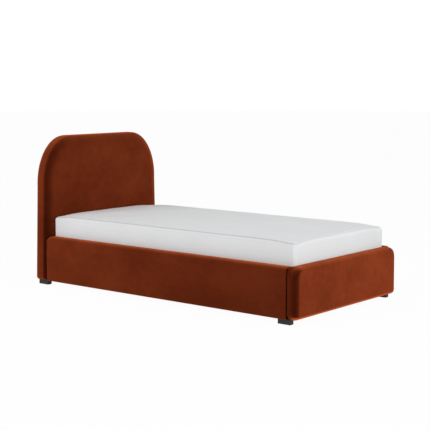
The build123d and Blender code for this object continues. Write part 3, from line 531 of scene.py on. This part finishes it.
grid_points, grid_quads = box_grid(
    crowded(mattress_half[0], edge_zone, edge_cells, across_cells),
    mattress_middle + crowded(mattress_half[1], edge_zone, edge_cells, along_cells),
    (mattress_low + mattress_high) / 2
    + crowded((mattress_high - mattress_low) / 2, end_edge, roll_cells, border_cells),
)
mattress_points, seam_shade = mattress_shape(grid_points)
mattress = face_outwards(link_mesh("mattress_cover", mattress_points, grid_quads.tolist()))
# The attribute seam carries the painted shade of the seam's crease.
mattress.data.attributes.new("seam", "FLOAT", "POINT").data.foreach_set("value", seam_shade)
print(len(grid_quads), "quads round the mattress, seam on", int((seam_shade > 0.5).sum()), "points")

# %% [markdown]
# ## Filling the mattress
# The box is sewn but empty. A formula could bulge it, but cloth physics finds by itself where a
# sewn cover gives. The cover is let go under a gentle pressure from inside, with no gravity, and
# swells most where it is farthest from its seams. Only the pattern of the swelling is wanted, so
# each direction is scaled down to the few millimetres that a sprung mattress bulges by, and
# underneath it stays flat on its slats. Slow waves on the top stand for the quilting under the
# cover.

# %% Swelling
swell_limit = np.array([0.0035, 0.0010, 0.0060])
wave_height = 0.0011
wave_fade = 0.12
top_skin = 0.002
wave_lengths = ((0.47, 0.31), (0.29, -0.52), (0.21, 0.83))


def swelling(piece, frames=16, pressure=4.0):
    """How far each point of a closed cover moves when cloth physics fills it for some frames."""
    start = np.empty(len(piece.data.vertices) * 3)
    piece.data.vertices.foreach_get("co", start)
    cloth = piece.modifiers.new("swelling", "CLOTH")
    cloth.settings.quality = 4
    cloth.settings.use_pressure = True
    cloth.settings.uniform_pressure_force = pressure
    cloth.settings.effector_weights.gravity = 0
    cloth.point_cache.frame_start, cloth.point_cache.frame_end = 1, frames
    for step in range(1, frames + 1):
        bpy.context.scene.frame_set(step)
    settled = piece.evaluated_get(bpy.context.evaluated_depsgraph_get()).data
    end = np.empty_like(start)
    settled.vertices.foreach_get("co", end)
    piece.modifiers.remove(cloth)
    bpy.context.scene.frame_set(1)
    return (end - start).reshape(-1, 3)


def quilt_waves(points):
    """Sum of three slow sine waves over the top, faded out within wave_fade of the edges."""
    flat = points[:, :2] - [0, mattress_middle]
    wave = sum(
        np.sin(2 * math.pi * (flat[:, 0] / across + flat[:, 1] / along) + across / along)
        for across, along in wave_lengths
    )
    fade = np.clip((mattress_half - np.abs(flat)).min(1) / wave_fade, 0, 1)
    return wave_height * wave * fade * (points[:, 2] > mattress_high - top_skin)


full_points = mattress_points.copy()
moved = swelling(mattress)
print("cloth moved the cover by up to", np.abs(moved).max(0).round(4))
moved *= np.minimum(1, swell_limit / np.maximum(np.abs(moved).max(0), tiny))
full_points += np.maximum(moved, [-1, -1, 0])
full_points[:, 2] += quilt_waves(mattress_points)
mattress.data.vertices.foreach_set("co", full_points.ravel())
mattress.data.update()
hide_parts("mattress")
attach(mattress, "platform")
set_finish(mattress, "mattress")
print(mattress.name, len(mattress.data.polygons), "faces")

# %% [markdown]
# ## Writing shader maths
# A material is a small program, and its nodes could be placed and linked one by one. That makes
# long code in which the formula is hard to see. The class below wraps one output socket, so sums
# and products of sockets read as plain expressions, and one method adds any other node.

# %% Shader helper
class Wire:
    """One output socket of a material. Arithmetic on it adds Math nodes."""

    def __init__(self, tree, socket=None):
        self.tree, self.socket = tree, socket

    def node(self, kind, settings=None, inputs=None, output=0):
        """Adds a node: settings first, then values or wires for its sockets."""
        made = self.tree.nodes.new(kind)
        for key, value in (settings or {}).items():
            setattr(made, key, value)
        for key, value in (inputs or {}).items():
            if isinstance(value, Wire):
                self.tree.links.new(value.socket, made.inputs[key])
            else:
                made.inputs[key].default_value = value
        return Wire(self.tree, made.outputs[output] if made.outputs else None)

    def maths(self, operation, *values):
        return self.node("ShaderNodeMath", {"operation": operation}, dict(enumerate(values)))

    def __add__(self, other):
        return self.maths("ADD", self, other)

    __radd__ = __add__

    def __rsub__(self, other):
        return self.maths("SUBTRACT", other, self)

    def __mul__(self, other):
        return self.maths("MULTIPLY", self, other)

    __rmul__ = __mul__

    def between(self, low, high):
        """0 below low, 1 above high, and a smooth step between them."""
        return self.node(
            "ShaderNodeMapRange", {"interpolation_type": "SMOOTHSTEP"},
            {"Value": self, "From Min": low, "From Max": high},
        )


def noise(place, scale, detail=2.0, roughness=0.5, stretch=None):
    """Noise on a position, which may first be stretched along an axis."""
    if stretch:
        place = place.node("ShaderNodeMapping", None, {"Vector": place, "Scale": stretch})
    return place.node(
        "ShaderNodeTexNoise", None,
        {"Vector": place, "Scale": scale, "Detail": detail, "Roughness": roughness},
    )


def blend_colours(amount, first, second):
    """Colour first where amount is 0, second where it is 1."""
    return amount.node(
        "ShaderNodeMix", {"data_type": "RGBA", "clamp_factor": True},
        {0: amount, 6: first, 7: second}, output=2,
    )


def bump(height, distance, strength=1.0, under=None):
    """Normal from a height pattern, laid over another bump when one is given."""
    inputs = {"Height": height, "Distance": distance, "Strength": strength}
    if under:
        inputs["Normal"] = under
    return height.node("ShaderNodeBump", None, inputs)


def finish(name, surface):
    """New material: surface(start, place) builds its shader from the object position, place."""
    material = bpy.data.materials.new(name)
    material.use_nodes = True
    tree = material.node_tree
    tree.nodes.clear()
    start = Wire(tree)
    place = start.node("ShaderNodeTexCoord", output=3)
    start.node("ShaderNodeOutputMaterial", None, {"Surface": surface(start, place)})
    return material


def plain(recipe):
    """Surface with one shader, whose sockets the recipe works out from the position, by name."""
    def surface(start, place):
        return start.node("ShaderNodeBsdfPrincipled", None, recipe(place))
    return surface


# %% [markdown]
# ## Velvet
# Velvet is a field of short upright fibres. Seen end-on it swallows light, and seen from the
# side the fibre flanks catch it, so a roll that faces you stays dark and edges that turn away
# glow. A sheen layer alone could add the glow but not take light away, so one shader stands for
# the fibre ends and one for their flanks, and the angle of view says how much of each is seen.
# The colour drifts a little too, in the broad brushed patches where a hand has laid the pile
# over. The grooves are painted with shade, and along the bottom edge of the footboard a painted
# highlight makes the bright line that light from the floor would give.

# %% Velvet colours
pile_end = (0.036, 0.0040, 0.0007, 1)
pile_end_warm = (0.056, 0.0072, 0.0016, 1)
pile_flank = (0.320, 0.046, 0.0120, 1)
pile_flank_warm = (0.500, 0.084, 0.0240, 1)
# Painted shade, near black, for the rail grooves.
groove_painted_shade = (0.004, 0.0007, 0.0003, 1)
# Painted highlight for the bottom edge of the footboard, and the box it is painted in.
hem_painted_highlight = (0.680, 0.132, 0.0370, 1)
hem_low, hem_high = 0.033, 0.050
hem_front, hem_back = foot_face - 0.03, foot_face - 0.01
brushed_share, stroked_share = 0.78, 0.22
drift_low, drift_high = 0.31, 0.70
flank_power = 1.15
flank_most = 0.50
rim_power = 6.0
rim_most = 0.50
sheen_tint = (1.0, 0.27, 0.10, 1)


# %% Velvet
def velvet_pile(place):
    """The brushed patches, from 0 to 1, the roughness, and the normal with fine pile over coarse."""
    brushed = noise(place, scale=2.6, detail=4, roughness=0.55, stretch=(1.0, 0.8, 1.3))
    stroked = noise(place, scale=15, detail=3, roughness=0.6, stretch=(1.0, 0.7, 1.6))
    drift = (brushed * brushed_share + stroked * stroked_share).between(drift_low, drift_high)
    pile = noise(place, scale=950, detail=2, roughness=0.7)
    loose = noise(place, scale=120, detail=3, roughness=0.6)
    laid = bump(drift, distance=0.008, strength=0.3)
    ruffled = bump(loose, distance=0.0006, strength=0.3, under=laid)
    return drift, 0.86 + 0.1 * pile, bump(pile, distance=0.0004, strength=0.5, under=ruffled)


def velvet_shader(start, place):
    """Mixes fibre ends and flanks by the angle of view.

    With x = 1 - cos(angle), the flanks' share is the lesser of x^flank_power and flank_most,
    plus rim_most x^rim_power. The attribute seam paints shade into the grooves, and the
    footboard's hem, below hem_high and in front of hem_back, is painted lighter as a highlight.
    """
    drift, rough, normal = velvet_pile(place)
    seen = place.node("ShaderNodeLayerWeight", None, {"Blend": 0.5, "Normal": normal}, output=1)
    # The attribute seam masks the painted shade in the rail grooves.
    groove_shade = place.node("ShaderNodeAttribute", {"attribute_name": "seam"}, output=2)
    along, height = (place.node("ShaderNodeSeparateXYZ", None, {0: place}, output=i) for i in (1, 2))
    # Mask of the painted highlight along the footboard's bottom edge.
    hem_highlight = (1 - height.between(hem_low, hem_high)) * (1 - along.between(hem_front, hem_back))
    halves = []
    for deep, warm, sheen in ((pile_end, pile_end_warm, 0.3), (pile_flank, pile_flank_warm, 0.45)):
        hem = blend_colours(hem_highlight, blend_colours(drift, deep, warm), hem_painted_highlight)
        halves.append(start.node("ShaderNodeBsdfPrincipled", None, {
            "Base Color": blend_colours(groove_shade, hem, groove_painted_shade),
            "Roughness": rough,
            "Normal": normal,
            "Specular IOR Level": 0.02,
            "Sheen Weight": sheen,
            "Sheen Roughness": 0.5,
            "Sheen Tint": sheen_tint,
        }))
    flanks = seen.maths("MINIMUM", seen.maths("POWER", seen, flank_power), flank_most)
    flanks = flanks + rim_most * seen.maths("POWER", seen, rim_power)
    return start.node("ShaderNodeMixShader", None, {0: flanks, 1: halves[0], 2: halves[1]})


velvet = finish("rust_velvet", velvet_shader)
print(velvet.name, len(velvet.node_tree.nodes), "nodes")

# %% [markdown]
# ## Mattress cover
# The cover is a fine white knit. Its stitches are two millimetres across, so they are bump only,
# and a slow drift in the grey keeps the broad top from looking like paper. The seam's crease is
# painted with shade by the attribute that was stored with the mesh, because the mesh is too
# coarse to shade so tight a crease by itself.

# %% Mattress knit
knit_grey = (0.775, 0.786, 0.794, 1)
knit_white = (0.834, 0.846, 0.854, 1)
# Painted shade for the seam's crease.
seam_painted_shade = (0.55, 0.55, 0.57, 1)


def knit_recipe(place):
    """Drifting near-white cloth with fine stitches over slow creases, shaded along the seam."""
    drift = noise(place, scale=3.5, detail=3, roughness=0.5)
    stitch = place.node("ShaderNodeTexVoronoi", {"feature": "F1"},
                        {"Vector": place, "Scale": 520.0, "Randomness": 0.45})
    crease = noise(place, scale=7, detail=4, roughness=0.55, stretch=(1.0, 0.6, 1.0))
    # Mask of the painted shade along the seam.
    seam = place.node("ShaderNodeAttribute", {"attribute_name": "seam"}, output=2)
    creased = bump(crease, distance=0.006, strength=0.5)
    return {
        "Base Color": blend_colours(seam, blend_colours(drift, knit_grey, knit_white), seam_painted_shade),
        "Roughness": 0.8 + 0.1 * drift,
        "Normal": bump(stitch, distance=0.0005, strength=0.4, under=creased),
        "Specular IOR Level": 0.3,
        "Sheen Weight": 0.15,
    }


knit = finish("white_knit", plain(knit_recipe))
print(knit.name, len(knit.node_tree.nodes), "nodes")

# %% [markdown]
# ## Hard finishes
# The feet and the hidden parts get their real finishes too: nearly black blocks, orange-peel
# powder coat on the steel, sawn pine and fibreboard in the box, birch slats with their grain
# along them, and plain black plastic. Pictures of these materials could be wrapped round the
# parts, but noise on the object's position needs no unwrapping, and it stays with a piece that
# turns.

# %% Painted and plated steel
def powder_recipe(place):
    """Black powder coat: a fine peel in the bump, and dust that lightens and dulls it."""
    peel = noise(place, scale=420, detail=2, roughness=0.5)
    dust = noise(place, scale=12, detail=4, roughness=0.6)
    return {
        "Base Color": blend_colours(dust, (0.022, 0.022, 0.024, 1), (0.042, 0.042, 0.045, 1)),
        "Roughness": 0.42 + 0.16 * dust,
        "Normal": bump(peel, distance=0.0004, strength=0.5),
    }


def gloss_recipe(place):
    """Gloss black paint of a gas spring's tube, with a thin uneven film of handling."""
    film = noise(place, scale=40, detail=3, roughness=0.5)
    return {
        "Base Color": blend_colours(film, (0.012, 0.012, 0.013, 1), (0.02, 0.02, 0.022, 1)),
        "Roughness": 0.14 + 0.1 * film,
    }


cloud_share = 0.82


def plated_finish(base, roughness):
    """Bare or plated metal, with fine marks that vary its gloss and clouds of cloud_share of base."""
    def recipe(place):
        marks = noise(place, scale=300, detail=3, roughness=0.6)
        cloud = noise(place, scale=25, detail=3, roughness=0.5)
        darker = tuple(cloud_share * c for c in base[:3]) + (1,)
        return {
            "Base Color": blend_colours(cloud, darker, base),
            "Metallic": 1.0,
            "Roughness": roughness + 0.15 * marks,
            "Normal": bump(marks, distance=0.0001, strength=0.3),
        }
    return plain(recipe)


# %% Wood, board, plastic and webbing
ring_scale = 5
ring_low, ring_high = 0.35, 0.68
ring_share, fibre_share = 0.75, 0.35
speck_share = 0.6


def wood_finish(light, dark, stretch):
    """Grain as noise drawn out along the piece, with fibres of a finer pattern over it."""
    def recipe(place):
        rings = noise(place, ring_scale, detail=4, roughness=0.55, stretch=stretch)
        rings = rings.between(ring_low, ring_high)
        fibre = noise(place, scale=60, detail=4, roughness=0.7, stretch=tuple(2 * s for s in stretch))
        return {
            "Base Color": blend_colours(rings * ring_share + fibre * fibre_share, light, dark),
            "Roughness": 0.55 + 0.2 * fibre,
            "Normal": bump(fibre, distance=0.0005, strength=0.35),
        }
    return plain(recipe)


def speck_finish(light, dark, scale, roughness, gloss=0.5):
    """Fine even speckle, for fibreboard, the feet, moulded plastic and rubber."""
    def recipe(place):
        specks = noise(place, scale, detail=3, roughness=0.7)
        cloud = noise(place, scale=6, detail=3, roughness=0.5)
        mottle = specks * speck_share + cloud * (1 - speck_share)
        return {
            "Base Color": blend_colours(mottle, light, dark),
            "Roughness": roughness + 0.15 * specks,
            "Specular IOR Level": gloss,
            "Normal": bump(specks, distance=0.0003, strength=0.4),
        }
    return plain(recipe)


def woven_finish(light, dark, scale):
    """Plain weave: the product of two crossing waves, a little distorted."""
    def recipe(place):
        along, over = (
            place.node("ShaderNodeTexWave", {"bands_direction": axis},
                       {"Vector": place, "Scale": scale, "Distortion": 0.4})
            for axis in "XZ"
        )
        weave = along * over
        return {
            "Base Color": blend_colours(weave, light, dark),
            "Roughness": 0.8 + 0.15 * weave,
            "Normal": bump(weave, distance=0.0005, strength=0.6),
        }
    return plain(recipe)


# %% Finishes on their slots
steel_rod, zinc, turned = (0.72, 0.72, 0.73, 1), (0.60, 0.61, 0.62, 1), (0.50, 0.50, 0.51, 1)
pine_light, pine_dark = (0.62, 0.43, 0.24, 1), (0.42, 0.26, 0.12, 1)
birch_light, birch_dark = (0.68, 0.52, 0.34, 1), (0.50, 0.35, 0.20, 1)
board_light, board_dark = (0.36, 0.25, 0.15, 1), (0.22, 0.14, 0.08, 1)
block_dark, block_light = (0.012, 0.009, 0.009, 1), (0.022, 0.018, 0.017, 1)
plastic_dark, plastic_light = (0.02, 0.02, 0.02, 1), (0.03, 0.03, 0.03, 1)
rubber_dark, rubber_light = (0.015, 0.015, 0.015, 1), (0.028, 0.028, 0.028, 1)
weave_dark, webbing_light = (0.012, 0.012, 0.013, 1), (0.04, 0.04, 0.043, 1)
lining_light = (0.035, 0.035, 0.037, 1)
along_bed, along_slat = (6.0, 0.5, 6.0), (0.5, 8.0, 8.0)

surfaces = {
    "black_steel": ("powder_coat", plain(powder_recipe)),
    "spring_tube": ("gloss_black", plain(gloss_recipe)),
    "spring_rod": ("polished_rod", plated_finish(steel_rod, roughness=0.08)),
    "zinc": ("zinc_plate", plated_finish(zinc, roughness=0.28)),
    "pin": ("turned_steel", plated_finish(turned, roughness=0.24)),
    "timber": ("sawn_pine", wood_finish(pine_light, pine_dark, along_bed)),
    "slat": ("birch_slat", wood_finish(birch_light, birch_dark, along_slat)),
    "board": ("fibreboard", speck_finish(board_light, board_dark, scale=260, roughness=0.6)),
    "foot": ("foot_block", speck_finish(block_dark, block_light, scale=500, roughness=0.5, gloss=0.3)),
    "plastic": ("moulded_black", speck_finish(plastic_dark, plastic_light, scale=600, roughness=0.5)),
    "rubber": ("soft_rubber", speck_finish(rubber_dark, rubber_light, scale=300, roughness=0.8)),
    "webbing": ("black_webbing", woven_finish(weave_dark, webbing_light, scale=190)),
    "lining": ("dust_cover", woven_finish(weave_dark, lining_light, scale=260)),
}
finishes = {"velvet": velvet, "mattress": knit}
finishes |= {slot: finish(name, surface) for slot, (name, surface) in surfaces.items()}

slot_of = {part["node"]: part["material_slot"] for part in frame["record"]["subparts"]}
for node_name, node in frame["nodes"].items():
    node.data.materials.clear()
    node.data.materials.append(finishes[slot_of[node_name]])
for piece in bpy.context.scene.objects:
    if piece.type == "MESH" and "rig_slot" in piece:
        piece.data.materials.clear()
        piece.data.materials.append(finishes[piece["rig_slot"]])
print(len(finishes), "finishes on", len(slot_of), "nodes")

# %% [markdown]
# ## Floor and backdrop
# The photograph's ground is plain white. The floor really is pale and takes the bed's shadow,
# and it only shows brighter to the camera, and to mirrors and glass, than it lights the bed.

# %% Floor
def shown_rays(wire):
    """1 for rays from the camera, or seen in gloss or through glass, else 0."""
    paths = [wire.node("ShaderNodeLightPath", output=name)
             for name in ("Is Camera Ray", "Is Glossy Ray", "Is Transmission Ray")]
    return paths[0].maths("MAXIMUM", paths[0].maths("MAXIMUM", paths[0], paths[1]), paths[2])


floor_reach = 40.0
floor_corners = 96
floor_veil = 0.97
floor_grey = (0.86, 0.86, 0.86, 1)
ring = np.linspace(0, 2 * math.pi, floor_corners, endpoint=False)
rim = np.stack([floor_reach * np.cos(ring), floor_reach * np.sin(ring), 0 * ring], -1)
floor = link_mesh("studio_floor", rim, [list(range(len(rim)))])
floor_finish = bpy.data.materials.new("studio_floor")
floor_finish.use_nodes = True
floor_tree = floor_finish.node_tree
floor_tree.nodes.clear()
ground = Wire(floor_tree)
matt = ground.node("ShaderNodeBsdfDiffuse", None, {"Color": floor_grey})
glow = ground.node("ShaderNodeEmission", None, {"Color": (1, 1, 1, 1), "Strength": 1.0})
veil = shown_rays(ground) * floor_veil
mixed = ground.node("ShaderNodeMixShader", None, {0: veil, 1: matt, 2: glow})
ground.node("ShaderNodeOutputMaterial", None, {"Surface": mixed})
floor.data.materials.append(floor_finish)
print(floor.name, floor_reach, "m to its edge")

world = bpy.data.worlds.new("studio")
bpy.context.scene.world = world
world.use_nodes = True
world.node_tree.nodes.clear()
sky = Wire(world.node_tree)
ambient = 0.40
sky_strength = ambient + (1 - ambient) * shown_rays(sky)
backdrop = sky.node("ShaderNodeBackground", None, {"Color": (1, 1, 1, 1), "Strength": sky_strength})
sky.node("ShaderNodeOutputWorld", None, {"Surface": backdrop})

# %% [markdown]
# ## Light
# Large soft lamps stand beside the rail, off the foot end, over the camera's line of sight and,
# weakest, overhead. Their shares were chosen on the mattress, which is white and shows the light
# itself: its foot end is brightest, and its long side and its top are a little darker.

# %% Lamps
lamp_size = 2.4


def soft_lamp(name, place, target, power):
    """Square area lamp at place, turned so that it faces target."""
    light = bpy.data.lights.new(name, "AREA")
    light.size = lamp_size
    light.energy = power
    lamp = bpy.data.objects.new(name, light)
    lamp.location = place
    toward = np.subtract(target, place)
    level = math.hypot(toward[0], toward[1])
    lamp.rotation_euler = (math.atan2(level, -toward[2]), 0, math.atan2(-toward[0], toward[1]))
    bpy.context.scene.collection.objects.link(lamp)
    print(name, power, "W")


soft_lamp("lamp_rail", place=(-4.4, 2.0, 2.6), target=(0, 0.2, 0.2), power=88)
soft_lamp("lamp_foot", place=(0.3, -6.5, 0.9), target=(0, -0.4, 0.25), power=131)
soft_lamp("lamp_top", place=(0.6, -0.9, 3.4), target=(0, 0.6, 0.5), power=22)
soft_lamp("lamp_camera", place=(-3.8, -3.4, 2.6), target=(0, 0, 0.2), power=43)

# %% [markdown]
# ## Camera
# The photograph was taken with a long lens from the left of the foot end, a little higher than
# the headboard. The numbers come from fitting the bed's known corners to where they appear.

# %% Camera
focal_pixels = 1127.84
image_pixels = 430
sensor = 36.0
lens_shift = -0.1
camera_place = (-5.4302, -4.4674, 1.3307)
yaw, pitch = math.radians(50.787), math.radians(4.733)
camera_data = bpy.data.cameras.new("camera")
camera_data.sensor_fit = "HORIZONTAL"
camera_data.sensor_width = sensor
camera_data.lens = focal_pixels / image_pixels * sensor
camera_data.shift_y = lens_shift
camera = bpy.data.objects.new("camera", camera_data)
camera.location = camera_place
camera.rotation_euler = (math.pi / 2 - pitch, 0, -yaw)
bpy.context.scene.collection.objects.link(camera)
bpy.context.scene.camera = camera
bpy.context.scene.view_settings.view_transform = "Standard"
print("lens", round(camera_data.lens, 2), "mm")
